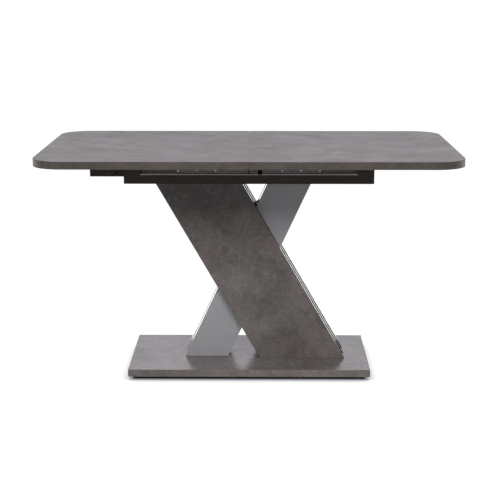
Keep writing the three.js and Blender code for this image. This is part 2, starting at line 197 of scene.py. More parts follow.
def addMix(tree, factor, first, second):
    node = addNode(tree, "ShaderNodeMix", data_type="RGBA")
    for key, value in (("Factor", factor), ("A", first), ("B", second)):
        socket = next(s for s in node.inputs if s.name == key and s.enabled)
        if isinstance(value, bpy.types.NodeSocket):
            tree.links.new(value, socket)
        else:
            socket.default_value = value
    return next(s for s in node.outputs if s.enabled)


def startGroup(name, inputs, outputs):
    tree = bpy.data.node_groups.new(name, "ShaderNodeTree")
    for label, kind, value in inputs:
        socket = tree.interface.new_socket(name=label, in_out="INPUT", socket_type="NodeSocket" + kind)
        if value is not None:
            socket.default_value = value
    for label in outputs:
        tree.interface.new_socket(name=label, in_out="OUTPUT", socket_type="NodeSocketFloat")
    return tree, tree.nodes.new("NodeGroupInput"), tree.nodes.new("NodeGroupOutput")


castPattern = {
    # each noise: scale as a share of the cloud scale, detail, roughness, distortion
    "broad": (1.0, 3, 0.5, 0.5), "middle": (3.1, 5, 0.62, 0.9), "warm": (1.7, 4, 0.6, 0.6),
    "rubbed": (9.0, 4, 0.7, 1.6), "stain": (4.2, 6, 0.7, 1.4),
    "fine": (150.0, 3, 0.75, 0.8), "grain": (420.0, 3, 0.7, 0.0),      # scales of their own
    "warmPlace": (3.7, 1.9, 0.4), "rubbedPlace": (9.2, 4.1, 0.0), "finePlace": (0.0, 6.3, 0.0),
    "stainPlace": (1.1, 7.7, 2.0),
    "cloudRange": (0.36, 0.64), "rubbedRange": (0.25, 0.75), "fineRange": (0.2, 0.8),
    "stainRange": (0.54, 0.74),
    # strokes: each way's turn and shift, then how they are drawn out and where they show
    "strokeWays": ((0.05, 0.0), (1.50, 5.3), (0.62, 9.1), (-0.88, 13.7)),
    "strokeStretch": (1.7, 17.0, 3.0), "strokeNoise": (1.9, 2, 0.4, 0.15), "strokeWidth": 0.017,
    "patchNoise": (8.0, 3), "patchRange": (0.55, 0.66),
}


# Cast concrete seen flat on: its pattern lies in the vector's own X and Y.
def makeConcreteGroup():
    tree, given, result = startGroup(
        "concretePattern",
        [("Vector", "Vector", None), ("Cloud Scale", "Float", 5.0), ("Stroke Amount", "Float", 1.0)],
        ["Clouds", "Mottle", "Warmth", "Strokes", "Stains", "Grain"])
    vector = given.outputs["Vector"]

    def moved(shift):
        return addMapping(tree, vector, shift=shift)

    def clouded(name, place=None):
        share, *character = castPattern[name]
        scale = addMath(tree, "MULTIPLY", given.outputs["Cloud Scale"], share)
        return addNoise(tree, moved(castPattern[place]) if place else vector, scale, *character)

    def centred(value, key):
        return addRange(tree, value, *castPattern[key], -0.5, 0.5)

    broad = addMath(tree, "MULTIPLY", clouded("broad"), 0.5)
    middle = addMath(tree, "MULTIPLY", clouded("middle"), 0.5)
    clouds = addRange(tree, addMath(tree, "ADD", broad, middle), *castPattern["cloudRange"])
    warmth = addRange(tree, clouded("warm", "warmPlace"), *castPattern["cloudRange"])
    stains = addRange(tree, clouded("stain", "stainPlace"), *castPattern["stainRange"])
    grain = addNoise(tree, vector, *castPattern["grain"])

    # rubbed mottling from a hand's width down to a few millimetres, as a factor about one
    rubbed = centred(clouded("rubbed", "rubbedPlace"), "rubbedRange")
    fine = centred(addNoise(tree, moved(castPattern["finePlace"]), *castPattern["fine"]), "fineRange")
    mottle = addMath(tree, "ADD", addMath(tree, "ADD", rubbed, fine), 1.0)

    # trowel strokes: the level line of a noise drawn out one way, shown only here and there
    strokes = 0.0
    for turn, shift in castPattern["strokeWays"]:
        turned = addMapping(tree, vector, (0, 0, turn))
        along = addMapping(tree, turned, stretch=castPattern["strokeStretch"], shift=(shift, shift, 0))
        wave = addMath(tree, "SUBTRACT", addNoise(tree, along, *castPattern["strokeNoise"]), 0.5)
        line = addRange(tree, addMath(tree, "ABSOLUTE", wave), castPattern["strokeWidth"], 0.0)
        patch = addNoise(tree, moved((shift, 0, 0)), *castPattern["patchNoise"])
        stroke = addMath(tree, "MULTIPLY", line, addRange(tree, patch, *castPattern["patchRange"]))
        strokes = addMath(tree, "MAXIMUM", strokes, stroke)
    strokes = addMath(tree, "MULTIPLY", strokes, given.outputs["Stroke Amount"])

    for label, value in (("Clouds", clouds), ("Mottle", mottle), ("Warmth", warmth), ("Strokes", strokes),
                         ("Stains", stains), ("Grain", grain)):
        tree.links.new(value, result.inputs[label])
    return tree


handling = {"softNoise": (3, 0.5, 0.8), "fineNoise": (3, 0.6), "fineScale": 14.0, "softShare": 0.7,
            "fineShare": 0.3, "range": (0.35, 0.65)}


# Uneven sheen and faint handling marks on any finish.
def makeHandlingGroup():
    tree, given, result = startGroup(
        "handlingMarks",
        [("Vector", "Vector", None), ("Low", "Float", 0.4), ("High", "Float", 0.5), ("Scale", "Float", 6.0)],
        ["Roughness", "Mask"])
    vector, scale = given.outputs["Vector"], given.outputs["Scale"]
    soft = addNoise(tree, vector, scale, *handling["softNoise"])
    fineScale = addMath(tree, "MULTIPLY", scale, handling["fineScale"])
    fine = addNoise(tree, vector, fineScale, *handling["fineNoise"])
    both = addMath(tree, "ADD", addMath(tree, "MULTIPLY", soft, handling["softShare"]),
                   addMath(tree, "MULTIPLY", fine, handling["fineShare"]))
    mask = addRange(tree, both, *handling["range"])
    tree.links.new(mask, result.inputs["Mask"])
    span = addRange(tree, mask, 0.0, 1.0, given.outputs["Low"], given.outputs["High"])
    tree.links.new(span, result.inputs["Roughness"])
    return tree


brushing = {"stretch": (0.02, 1, 1), "noise": (2, 0.6)}


# Fine lines left by drawing or brushing, along the vector's X.
def makeBrushedGroup():
    tree, given, result = startGroup(
        "brushedLines",
        [("Vector", "Vector", None), ("Density", "Float", 900.0)],
        ["Lines"])
    drawn = addMapping(tree, given.outputs["Vector"], stretch=brushing["stretch"])
    lines = addNoise(tree, drawn, given.outputs["Density"], *brushing["noise"])
    tree.links.new(lines, result.inputs["Lines"])
    return tree


makeStudio()
print("studio made")

concreteGroup = makeConcreteGroup()
handlingGroup = makeHandlingGroup()
brushedGroup = makeBrushedGroup()
print("shader groups made")


# Finishes. Each starts from a plain shader and the piece's own coordinates.
def startFinish(name, color, roughness=0.5, metallic=0.0):
    material = bpy.data.materials.new(name)
    material.use_nodes = True
    tree = material.node_tree
    shader = tree.nodes["Principled BSDF"]
    shader.inputs["Base Color"].default_value = (*color, 1)
    shader.inputs["Roughness"].default_value = roughness
    shader.inputs["Metallic"].default_value = metallic
    place = addNode(tree, "ShaderNodeTexCoord").outputs["Object"]
    return material, tree, shader, place


def addBump(tree, shader, height, strength, distance):
    bump = addNode(tree, "ShaderNodeBump", {"Height": height, "Strength": strength, "Distance": distance})
    tree.links.new(bump.outputs["Normal"], shader.inputs["Normal"])


def blendColor(tree, shader, factor, first, second):
    tree.links.new(addMix(tree, factor, (*first, 1), (*second, 1)), shader.inputs["Base Color"])


def scaleColor(color, share):
    return [part * share for part in color]


def addHandling(tree, shader, place, low, high, scale=6.0):
    marks = addNode(tree, "ShaderNodeGroup", node_tree=handlingGroup)
    tree.links.new(place, marks.inputs["Vector"])
    for key, value in (("Low", low), ("High", high), ("Scale", scale)):
        marks.inputs[key].default_value = value
    tree.links.new(marks.outputs["Roughness"], shader.inputs["Roughness"])
    return marks.outputs["Mask"]


concrete = {
    "dark": (0.082, 0.072, 0.069), "light": (0.178, 0.165, 0.163), "warm": (0.176, 0.138, 0.118),
    "stroke": (0.36, 0.34, 0.33), "stain": (0.046, 0.038, 0.036),
    "warmShare": 0.42, "stainShare": 0.40, "strokeShare": 0.42, "grainShare": 0.5,
    "handlingScale": 9.0, "bump": (0.16, 0.0004),
}


# flat turns the pattern into the board's own plane: no turn for a level board, a quarter turn for an
# upright one.
def makeConcrete(name, flat, shift, cloudScale, contrast, mottle, strokes, tint, low, high):
    material, tree, shader, place = startFinish(name, concrete["light"])
    vector = addMapping(tree, place, flat, (1, 1, 1), shift)
    pattern = addNode(tree, "ShaderNodeGroup", node_tree=concreteGroup)
    tree.links.new(vector, pattern.inputs["Vector"])
    pattern.inputs["Cloud Scale"].default_value = cloudScale
    pattern.inputs["Stroke Amount"].default_value = strokes

    def shade(key):
        return (*[part * share for part, share in zip(concrete[key], tint)], 1)

    def share(output, key):
        return addMath(tree, "MULTIPLY", pattern.outputs[output], concrete[key] * contrast)

    clouds = addRange(tree, pattern.outputs["Clouds"], 0, 1, 0.5 - contrast / 2, 0.5 + contrast / 2)
    color = addMix(tree, clouds, shade("dark"), shade("light"))
    color = addMix(tree, share("Warmth", "warmShare"), color, shade("warm"))
    color = addMix(tree, share("Stains", "stainShare"), color, shade("stain"))
    color = addMix(tree, share("Strokes", "strokeShare"), color, shade("stroke"))
    worn = addRange(tree, pattern.outputs["Mottle"], 0.0, 2.0, 1 - mottle, 1 + mottle)
    tinted = addNode(tree, "ShaderNodeVectorMath", {0: color, "Scale": worn}, operation="SCALE")
    tree.links.new(tinted.outputs["Vector"], shader.inputs["Base Color"])
    addHandling(tree, shader, vector, low, high, concrete["handlingScale"])
    grain = addMath(tree, "MULTIPLY", pattern.outputs["Grain"], concrete["grainShare"])
    addBump(tree, shader, addMath(tree, "ADD", grain, pattern.outputs["Mottle"]), *concrete["bump"])
    return material


paint = {"peelScale": 900.0, "peelDetail": 2, "peelDepth": 0.0002}


def makePaint(name, color, low, high, metallic=0.0, peel=0.05, variation=0.12, gloss=0.5):
    material, tree, shader, place = startFinish(name, color, metallic=metallic)
    shader.inputs["Specular IOR Level"].default_value = gloss
    mask = addHandling(tree, shader, place, low, high)
    blendColor(tree, shader, mask, scaleColor(color, 1 - variation), color)
    bumps = addNoise(tree, place, paint["peelScale"], paint["peelDetail"])
    addBump(tree, shader, bumps, peel, paint["peelDepth"])
    return material


metal = {"handlingScale": 18.0, "worn": 0.82, "lineDepth": 0.0002}


def makeMetal(name, color, low, high, lines=0.12, density=900.0):
    material, tree, shader, place = startFinish(name, color, metallic=1.0)
    mask = addHandling(tree, shader, place, low, high, metal["handlingScale"])
    blendColor(tree, shader, mask, scaleColor(color, metal["worn"]), color)
    brushed = addNode(tree, "ShaderNodeGroup", node_tree=brushedGroup)
    tree.links.new(place, brushed.inputs["Vector"])
    brushed.inputs["Density"].default_value = density
    addBump(tree, shader, brushed.outputs["Lines"], lines, metal["lineDepth"])
    return material


blackBoard = {"color": (0.031, 0.0200, 0.0125), "poreStretch": (0.05, 1, 1),
              "poreNoise": (260.0, 4, 0.65, 0.3), "poreRange": (0.35, 0.7), "poreShare": 1.7,
              "sheen": (0.46, 0.58), "bump": (0.18, 0.0003)}


# Black-brown board with a faint pressed wood pore along X.
def makeBlackBoard():
    color = blackBoard["color"]
    material, tree, shader, place = startFinish("blackBoard", color)
    drawn = addMapping(tree, place, stretch=blackBoard["poreStretch"])
    pores = addNoise(tree, drawn, *blackBoard["poreNoise"])
    shown = addRange(tree, pores, *blackBoard["poreRange"])
    blendColor(tree, shader, shown, color, scaleColor(color, blackBoard["poreShare"]))
    addHandling(tree, shader, place, *blackBoard["sheen"])
    addBump(tree, shader, pores, *blackBoard["bump"])
    return material


felt = {"color": (0.045, 0.042, 0.040), "dark": (0.02, 0.019, 0.018), "light": (0.09, 0.085, 0.08),
        "roughness": 0.95, "sheen": 0.3, "fibreNoise": (1400.0, 4, 0.8, 1.5), "bump": (0.6, 0.0005)}


def makeFelt():
    material, tree, shader, place = startFinish("felt", felt["color"], felt["roughness"])
    fibres = addNoise(tree, place, *felt["fibreNoise"])
    blendColor(tree, shader, fibres, felt["dark"], felt["light"])
    shader.inputs["Sheen Weight"].default_value = felt["sheen"]
    addBump(tree, shader, fibres, *felt["bump"])
    return material


beech = {"color": (0.56, 0.37, 0.19), "dark": (0.42, 0.26, 0.12), "light": (0.66, 0.47, 0.27),
         "roughness": 0.6, "poreStretch": (0.08, 1, 1), "poreNoise": (700.0, 3, 0.6), "bump": (0.2, 0.0003)}


def makeBeech():
    material, tree, shader, place = startFinish("beech", beech["color"], beech["roughness"])
    pores = addNoise(tree, addMapping(tree, place, stretch=beech["poreStretch"]), *beech["poreNoise"])
    blendColor(tree, shader, pores, beech["dark"], beech["light"])
    addBump(tree, shader, pores, *beech["bump"])
    return material


chipboard = {"color": (0.40, 0.28, 0.17), "dark": (0.24, 0.16, 0.09), "light": (0.52, 0.38, 0.24),
             "roughness": 0.85, "chipStretch": (1, 1, 2.4), "chipScale": 420.0, "chipRange": (0.1, 0.8),
             "bump": (0.4, 0.0004)}


# Raw chipboard, where a board's core shows.
def makeChipboard():
    material, tree, shader, place = startFinish("chipboardCore", chipboard["color"], chipboard["roughness"])
    pressed = addMapping(tree, place, stretch=chipboard["chipStretch"])
    chips = addNode(tree, "ShaderNodeTexVoronoi", {"Vector": pressed, "Scale": chipboard["chipScale"]})
    tone = addRange(tree, chips.outputs["Distance"], *chipboard["chipRange"])
    blendColor(tree, shader, tone, chipboard["light"], chipboard["dark"])
    addBump(tree, shader, tone, *chipboard["bump"])
    return material


upright, level = (math.radians(-90), 0, 0), (0, 0, 0)

# boardDecor is what the level boards share, edgeDecor what the edge bands share
boardDecor = {"flat": level, "cloudScale": 4.2, "contrast": 0.75, "mottle": 0.45, "strokes": 0.7,
              "tint": (1, 1, 1), "low": 0.34, "high": 0.46}
edgeDecor = {"flat": upright, "cloudScale": 7.0, "contrast": 0.7, "mottle": 0.5, "strokes": 0.5,
             "low": 0.42, "high": 0.52}
decors = {
    "topDecor": {**boardDecor, "shift": (0.3, 0.2, 0)},
    "leafDecor": {**boardDecor, "shift": (4.3, 2.2, 0)},
    "baseDecor": {**boardDecor, "shift": (7.1, 3.3, 0), "cloudScale": 5.0, "contrast": 0.8, "mottle": 0.6,
                  "low": 0.25, "high": 0.30},
    "legDecor": {"flat": upright, "shift": (2.6, 1.15, 0), "cloudScale": 4.6, "contrast": 1.0, "mottle": 0.5,
                 "strokes": 0.65, "tint": (1, 1, 1), "low": 0.40, "high": 0.54},
    "topEdgeDecor": {**edgeDecor, "shift": (5.5, 0.6, 0), "tint": (0.58, 0.525, 0.47)},
    # the base's edge band is painted paler than the other edge bands: painted light, standing in for light
    # bounced up from the floor
    "baseEdgeDecor": {**edgeDecor, "shift": (8.5, 1.6, 0), "tint": (1.40, 1.37, 1.38)},
}

# low and high are the ends of the roughness
paints = {
    # pale strip at the seam: its colour is a painted highlight along the seam
    "seamBand": {"color": (0.27, 0.26, 0.255), "low": 0.35, "high": 0.45},
    "backing": {"color": (0.030, 0.026, 0.024), "low": 0.55, "high": 0.68, "peel": 0.2},
    "silver": {"color": (0.410, 0.404, 0.424), "low": 0.32, "high": 0.40, "metallic": 0.15, "peel": 0.06,
               "variation": 0.07},
    "greySpacer": {"color": (0.030, 0.030, 0.032), "low": 0.6, "high": 0.7, "gloss": 0.0},
    "blackSpacer": {"color": (0.014, 0.0135, 0.013), "low": 0.7, "high": 0.85, "gloss": 0.0},
    "darkSteel": {"color": (0.52, 0.51, 0.50), "low": 0.42, "high": 0.55},
    # near-white paint on the sill lip: a painted highlight along the sill
    "polishedLip": {"color": (0.93, 0.92, 0.91), "low": 0.30, "high": 0.40},
    "coverCap": {"color": (0.026, 0.021, 0.018), "low": 0.34, "high": 0.44, "peel": 0.1},
    "blackPlastic": {"color": (0.004, 0.004, 0.004), "low": 0.60, "high": 0.75, "peel": 0.3, "gloss": 0.1},
    "nylon": {"color": (0.72, 0.70, 0.64), "low": 0.38, "high": 0.48, "peel": 0.1, "variation": 0.06},
}
metals = {
    "trim": {"color": (0.97, 0.97, 0.97), "low": 0.12, "high": 0.18, "lines": 0.05, "density": 1500.0},
    "zincSteel": {"color": (0.46, 0.44, 0.42), "low": 0.34, "high": 0.48},
    "runnerSteel": {"color": (0.26, 0.25, 0.24), "low": 0.36, "high": 0.50},
    "rolledLip": {"color": (0.92, 0.91, 0.90), "low": 0.14, "high": 0.22, "lines": 0.05},
    "screwSteel": {"color": (0.80, 0.79, 0.77), "low": 0.22, "high": 0.32, "lines": 0.05},
    "darkScrew": {"color": (0.10, 0.095, 0.09), "low": 0.35, "high": 0.45, "lines": 0.05},
}

finishes = {"blackBoard": makeBlackBoard(), "felt": makeFelt(), "beech": makeBeech(),
            "chipboard": makeChipboard()}
for makeFinish, kinds in ((makeConcrete, decors), (makePaint, paints), (makeMetal, metals)):
    for name, values in kinds.items():
        finishes[name] = makeFinish(name, **values)
print("finishes made:", len(finishes))


# Turns a bmesh into a mesh in the named finishes and frees it.
def makeMesh(shape, name, *finishNames):
    mesh = bpy.data.meshes.new(name)
    shape.to_mesh(mesh)
    shape.free()
    for finish in finishNames:
        mesh.materials.append(finishes[finish])
    return mesh


def rectangle(xLow, yLow, xHigh, yHigh):
    return [(xLow, yLow), (xHigh, yLow), (xHigh, yHigh), (xLow, yHigh)]


def settle(piece, body, replaced=()):
    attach(piece, body)
    if replaced:
        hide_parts(*replaced)
    return piece


def bodyOf(nodeName):
    bodies = frame["record"]["behaviour"]["bodies"]
    return next(name for name, members in bodies.items() if nodeName in members)


def addPiece(name, mesh):
    piece = bpy.data.objects.new(name, mesh)
    bpy.context.scene.collection.objects.link(piece)
    return piece


# Turns whatever modifiers a piece has into a plain mesh and drops them.
def makePlain(piece):
    bpy.context.view_layer.update()
    seen = piece.evaluated_get(bpy.context.evaluated_depsgraph_get())
    mesh = bpy.data.meshes.new_from_object(seen)
    piece.modifiers.clear()
    old = piece.data
    piece.data = mesh
    mesh.name = piece.name
    bpy.data.meshes.remove(old)
    return piece


def evenNormals(piece):
    piece.data.shade_smooth()
    modifier = piece.modifiers.new("evenNormals", "WEIGHTED_NORMAL")
    modifier.weight = 90
    return makePlain(piece)


# A closed bmesh prism from a flat outline and two heights.
def buildPrism(outline, zLow, zHigh):
    shape = bmesh.new()
    low = [shape.verts.new((x, y, zLow)) for x, y in outline]
    high = [shape.verts.new((x, y, zHigh)) for x, y in outline]
    count = len(outline)
    shape.faces.new(list(reversed(low)))
    shape.faces.new(high)
    for i in range(count):
        j = (i + 1) % count
        shape.faces.new((low[i], low[j], high[j], high[i]))
    bmesh.ops.recalc_face_normals(shape, faces=shape.faces)
    return shape


def roundEdges(shape, edges, radius, segments=2):
    bmesh.ops.bevel(shape, geom=edges, offset=radius, segments=segments, profile=0.5,
                    affect="EDGES", clamp_overlap=True)


# Gives each face the finish for the way it looks: up, down or side, by list position 0, 1, 2.
def paintByDirection(mesh, facing):
    for finish in facing:
        mesh.materials.append(finishes[finish])
    for face in mesh.polygons:
        face.material_index = 0 if face.normal.z > 0.85 else 1 if face.normal.z < -0.85 else 2


# How far the arrises of plain CAD pieces are rounded, which edges count as sharp, in radians, and the
# shortest edge of the leaf board that is rounded, in metres.
arrises = {"board": 0.5 * mm, "leafBoard": 0.4 * mm, "leafBand": 0.5 * mm, "felt": 0.4 * mm,
           "steel": 0.35 * mm, "stop": 1.2 * mm, "dowel": 0.2 * mm, "sharp": 0.5, "leafShortest": 0.1}


# The CAD piece with its arrises broken, as a sanded or moulded piece has them.
def softCopy(nodeName, finish, radius, segments=2, shortest=0.0, facing=None):
    shape = bmesh.new()
    shape.from_mesh(nodes[nodeName].data)
    bmesh.ops.remove_doubles(shape, verts=shape.verts, dist=1e-6)
    bmesh.ops.dissolve_limit(shape, angle_limit=0.01, verts=shape.verts, edges=shape.edges)
    edges = [e for e in shape.edges
             if e.is_manifold and e.calc_face_angle(0) > arrises["sharp"] and e.calc_length() > shortest]
    roundEdges(shape, edges, radius, segments)
    mesh = makeMesh(shape, nodeName)
    if facing:
        paintByDirection(mesh, facing)
    else:
        mesh.materials.append(finishes[finish])
    piece = evenNormals(addPiece(nodeName + "_fine", mesh))
    return settle(piece, bodyOf(nodeName), (nodeName,))


top = {"cornerRadius": 100 * mm, "bandThickness": 1.5 * mm, "arris": 0.3 * mm, "seamBand": 1.5 * mm,
       "seamArris": 0.25 * mm, "arcSteps": 32, "holeRadius": 4.3 * mm, "holeDepth": 14 * mm}


# Outline of a half as the path round its three outer edges, from the seam and back to it.
def halfPath(side, inset):
    low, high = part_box("top_edge_band_" + side)
    sign = -1 if side == "left" else 1
    seam = high.x if side == "left" else low.x
    outer = (low.x if side == "left" else high.x) - sign * inset
    y = high.y - inset
    radius = top["cornerRadius"] - inset
    path = [(seam, y)]
    for corner, start in ((1, 0.0), (-1, math.pi / 2)):
        for step in range(top["arcSteps"] + 1):
            angle = start + math.pi / 2 * step / top["arcSteps"]
            path.append((outer - sign * radius + sign * radius * math.sin(angle),
                         corner * (y - radius) + radius * math.cos(angle)))
    path.append((seam, -y))
    return path


# The dowel holes of a half take the other half's dowels; their walls show the board's core.
def drillDowels(piece, side):
    other = "right" if side == "left" else "left"
    for letter in ("a", "b"):
        low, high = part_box(f"top_dowel_{other}_{letter}")
        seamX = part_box("top_board_" + side)[1 if side == "left" else 0].x
        middle = (low + high) / 2
        shape = bmesh.new()
        bmesh.ops.create_cone(shape, cap_ends=True, segments=24, radius1=top["holeRadius"],
                              radius2=top["holeRadius"], depth=2 * top["holeDepth"])
        for vert in shape.verts:
            x, y, z = vert.co
            vert.co = (seamX + z, middle.y + y, middle.z + x)
        bmesh.ops.recalc_face_normals(shape, faces=shape.faces)
        mesh = makeMesh(shape, "drill", "chipboard")
        bit = addPiece("drill", mesh)
        cut = piece.modifiers.new("drill", "BOOLEAN")
        cut.operation, cut.object, cut.solver, cut.material_mode = "DIFFERENCE", bit, "EXACT", "TRANSFER"
        makePlain(piece)
        bpy.data.objects.remove(bit)
    return piece


def makeTopBoard(side):
    low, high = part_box("top_board_" + side)
    path = halfPath(side, top["bandThickness"])
    seamX = path[0][0] + (-1 if side == "left" else 1) * top["seamBand"]
    path[0], path[-1] = (seamX, path[0][1]), (seamX, path[-1][1])
    shape = buildPrism(path, low.z, high.z)
    mesh = makeMesh(shape, "top_board")
    paintByDirection(mesh, ("topDecor", "backing", "chipboard"))
    piece = drillDowels(addPiece(f"top_{side}_panel", mesh), side)
    return settle(piece, side + "_half", ("top_board_" + side,))


# The strip glued to the edge that meets the other half, painted paler: a painted highlight for the bright
# line along the seam.
def makeSeamBand(side):
    low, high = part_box("top_board_" + side)
    seamX = high.x if side == "left" else low.x
    innerX = seamX + (-1 if side == "left" else 1) * top["seamBand"]
    xLow, xHigh = sorted((seamX, innerX))
    shape = buildPrism(rectangle(xLow, low.y, xHigh, high.y), low.z, high.z)
    roundEdges(shape, list(shape.edges), top["seamArris"], 2)
    mesh = makeMesh(shape, "seam_band", "seamBand")
    piece = drillDowels(evenNormals(addPiece(f"top_{side}_seam_band", mesh)), side)
    return settle(piece, side + "_half")


# Geometry Nodes: a strip of even thickness and height swept along a path.
def makeBandTree():
    tree = bpy.data.node_groups.new("edgeBand", "GeometryNodeTree")
    sockets = {"Geometry": tree.interface.new_socket(name="Geometry", in_out="INPUT",
                                                     socket_type="NodeSocketGeometry")}
    for label, value in (("Thickness", 1.5 * mm), ("Height", 24 * mm), ("Arris", 0.7 * mm)):
        sockets[label] = tree.interface.new_socket(name=label, in_out="INPUT", socket_type="NodeSocketFloat")
        sockets[label].default_value = value
    sockets["Finish"] = tree.interface.new_socket(name="Finish", in_out="INPUT",
                                                  socket_type="NodeSocketMaterial")
    tree.interface.new_socket(name="Geometry", in_out="OUTPUT", socket_type="NodeSocketGeometry")
    given, result = tree.nodes.new("NodeGroupInput"), tree.nodes.new("NodeGroupOutput")
    path = addNode(tree, "GeometryNodeMeshToCurve", {"Mesh": given.outputs["Geometry"]})
    straight = addNode(tree, "GeometryNodeSetCurveNormal", {"Curve": path.outputs["Curve"]})
    straight.mode = "Z_UP"
    section = addNode(tree, "GeometryNodeCurvePrimitiveQuadrilateral",
                      {"Width": given.outputs["Thickness"], "Height": given.outputs["Height"]})
    soft = addNode(tree, "GeometryNodeFilletCurve", {"Curve": section.outputs["Curve"],
                                                     "Radius": given.outputs["Arris"]})
    soft.mode = "POLY"
    soft.inputs["Count"].default_value = 3
    swept = addNode(tree, "GeometryNodeCurveToMesh", {"Curve": straight.outputs["Curve"], "Fill Caps": True,
                                                      "Profile Curve": soft.outputs["Curve"]})
    real = addNode(tree, "GeometryNodeRealizeInstances", {"Geometry": swept.outputs["Mesh"]})
    painted = addNode(tree, "GeometryNodeSetMaterial", {"Geometry": real.outputs["Geometry"],
                                                        "Material": given.outputs["Finish"]})
    tree.links.new(painted.outputs["Geometry"], result.inputs["Geometry"])
    return tree, sockets


bandTree, bandSockets = makeBandTree()


def sweepBand(name, path, closed, zMiddle, thickness, height, arris, finish):
    mesh = bpy.data.meshes.new(name)
    points = [(x, y, zMiddle) for x, y in path]
    edges = [(i, i + 1) for i in range(len(points) - 1)] + ([(len(points) - 1, 0)] if closed else [])
    mesh.from_pydata(points, edges, [])
    piece = addPiece(name, mesh)
    modifier = piece.modifiers.new("edgeBand", "NODES")
    modifier.node_group = bandTree
    for label, value in (("Thickness", thickness), ("Height", height), ("Arris", arris),
                         ("Finish", finishes[finish])):
        modifier[bandSockets[label].identifier] = value
    makePlain(piece)
    shape = bmesh.new()
    shape.from_mesh(piece.data)
    bmesh.ops.remove_doubles(shape, verts=shape.verts, dist=1e-6)
    bmesh.ops.recalc_face_normals(shape, faces=shape.faces)
    shape.to_mesh(piece.data)
    shape.free()
    return evenNormals(piece)


def makeTopBand(side):
    low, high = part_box("top_edge_band_" + side)
    path = halfPath(side, top["bandThickness"] / 2)
    piece = sweepBand(f"top_{side}_band", path, False, (low.z + high.z) / 2, top["bandThickness"],
                      high.z - low.z, top["arris"], "topEdgeDecor")
    return settle(piece, side + "_half", ("top_edge_band_" + side,))


for side in ("left", "right"):
    makeTopBoard(side)
    makeSeamBand(side)
    makeTopBand(side)
print("top made")


baseSpec = {"bandThickness": 1.5 * mm, "arris": 0.7 * mm, "feltThickness": 1.5 * mm, "footArris": 1.0 * mm,
            "feltInset": 1.5 * mm, "feltArris": 0.4 * mm}


def makeBase():
    low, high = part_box("base_edge_band")
    inset = baseSpec["bandThickness"]
    x, y = high.x - inset, high.y - inset
    shape = buildPrism(rectangle(-x, -y, x, y), low.z, high.z)
    mesh = makeMesh(shape, "base_panel")
    paintByDirection(mesh, ("baseDecor", "backing", "chipboard"))
    panel = addPiece("base_panel", mesh)
    settle(panel, "pedestal_frame", ("base_board",))

    # The band round the base is painted lighter, as painted bounce light from the floor.
    x, y = high.x - inset / 2, high.y - inset / 2
    band = sweepBand("base_band", rectangle(-x, -y, x, y), True, (low.z + high.z) / 2, inset,
                     high.z - low.z, baseSpec["arris"], "baseEdgeDecor")
    settle(band, "pedestal_frame", ("base_edge_band",))


# Each foot rail stands on a felt strip, which takes the lowest part of its height.
def makeFoot(nodeName):
    low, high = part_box(nodeName)
    felt = baseSpec["feltThickness"]
    for label, zLow, zHigh, finish, slot in (("rail", low.z + felt, high.z, "blackBoard", "black_board"),
                                             ("felt", low.z, low.z + felt, "felt", "felt")):
        inset = 0 if label == "rail" else baseSpec["feltInset"]
        corners = rectangle(low.x + inset, low.y + inset, high.x - inset, high.y - inset)
        shape = buildPrism(corners, zLow, zHigh)
        radius = baseSpec["footArris" if label == "rail" else "feltArris"]
        roundEdges(shape, list(shape.edges), radius, 2)
        mesh = makeMesh(shape, nodeName, finish)
        piece = evenNormals(addPiece(f"{nodeName}_{label}", mesh))
        settle(piece, "pedestal_frame", (nodeName,) if label == "rail" else ())


makeBase()
for name in ("front", "rear", "left", "right"):
    makeFoot("foot_rail_" + name)
print("base made")


leg = {"arris": 0.3 * mm, "trimFront": 12.5 * mm, "trimRear": 3.9 * mm, "trimArris": 0.4 * mm,
       "trimGap": 0.1 * mm, "silverArris": 0.8 * mm}


# Corners of an upright sloping board, from the highest and lowest points of its nodes, in X and Z.
def slopeCorners(*nodeNames):
    points = [v.co for name in nodeNames for v in nodes[name].data.vertices]
    zLow, zHigh = min(p.z for p in points), max(p.z for p in points)
    corners = []
    for z, order in ((zLow, 1), (zHigh, -1)):
        ends = [p.x for p in points if abs(p.z - z) < 1e-5]
        corners += [(x, z) for x in (min(ends), max(ends))[::order]]
    return corners


# A closed sloping board built as rings of corners, each at its own depth.
def stackRings(name, rings, finish, arris):
    shape = bmesh.new()
    made = [[shape.verts.new((x, y, z)) for x, z in corners] for corners, y in rings]
    shape.faces.new(made[0])
    shape.faces.new(list(reversed(made[-1])))
    for first, second in zip(made, made[1:]):
        for i in range(len(first)):
            j = (i + 1) % len(first)
            shape.faces.new((first[i], second[i], second[j], first[j]))
    bmesh.ops.recalc_face_normals(shape, faces=shape.faces)
    outer = [e for e in shape.edges if e.calc_face_angle(0) > 0.5
             and any(abs(v.co.y - y) < 1e-6 for v in e.verts for y in (rings[0][1], rings[-1][1]))]
    roundEdges(shape, outer, arris, 2)
    mesh = makeMesh(shape, name, finish)
    return evenNormals(addPiece(name, mesh))


# One board of the stone leg, black but for the decor on an outer face. A groove in each sloping edge holds
# an aluminium strip, flush with that edge.
def makeStoneLayer(layer):
    board = f"stone_leg_{layer}_board"
    strips = [f"stone_leg_{layer}_trim_{edge}" for edge in ("left", "right")]
    low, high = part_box(board)
    full = slopeCorners(board, *strips)
    grooved = slopeCorners(board)
    front, rear = low.y + leg["trimFront"], high.y - leg["trimRear"]
    rings = [(full, low.y), (full, front), (grooved, front), (grooved, rear), (full, rear), (full, high.y)]
    piece = stackRings(board + "_fine", rings, "blackSpacer", leg["arris"])
    piece.data.materials.append(finishes["legDecor"])
    outward = {"front": -1, "middle": 0, "rear": 1}[layer]
    for face in piece.data.polygons:
        if face.normal.y * outward > 0.9:
            face.material_index = 1
    settle(piece, "pedestal_frame", (board,))
    for strip in strips:
        corners = slopeCorners(strip)
        ends = [(corners, front + leg["trimGap"]), (corners, rear - leg["trimGap"])]
        slim = stackRings(strip + "_fine", ends, "trim", leg["trimArris"])
        settle(slim, "pedestal_frame", (strip,))


